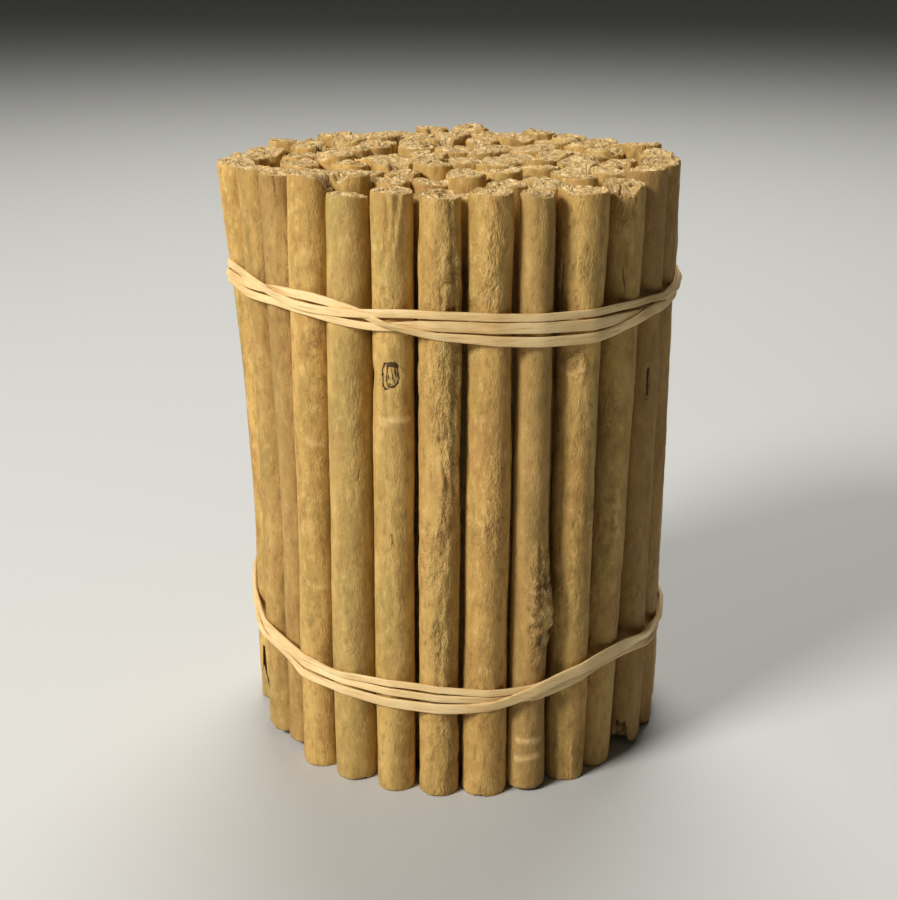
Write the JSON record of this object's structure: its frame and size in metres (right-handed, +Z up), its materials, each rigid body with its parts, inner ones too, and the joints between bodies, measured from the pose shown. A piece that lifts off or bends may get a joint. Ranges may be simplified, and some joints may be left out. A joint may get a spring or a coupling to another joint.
{
  "type": "bundle of cinnamon sticks",
  "caption": "Upright round bundle of dried cinnamon quills with rough layered ends, held near the top and near the foot by wound rubber bands.",
  "frame": {"origin": "middle of the bundle's foot, on the face the quills stand on", "axes": "+Z up along the quills, -Y towards the front of the bundle, +X to its right seen from the front"},
  "size_m": [0.0997, 0.0979, 0.1284],
  "materials": {
    "bark": "dry peeled bark, matt, light tan with brown knots and crumbly ends",
    "latex": "natural latex, pale cream tan, soft sheen"
  },
  "bodies": {
    "root": {"cinnamon_sticks": "bark", "band_upper": "latex", "band_lower": "latex"}
  },
  "joints": []
}
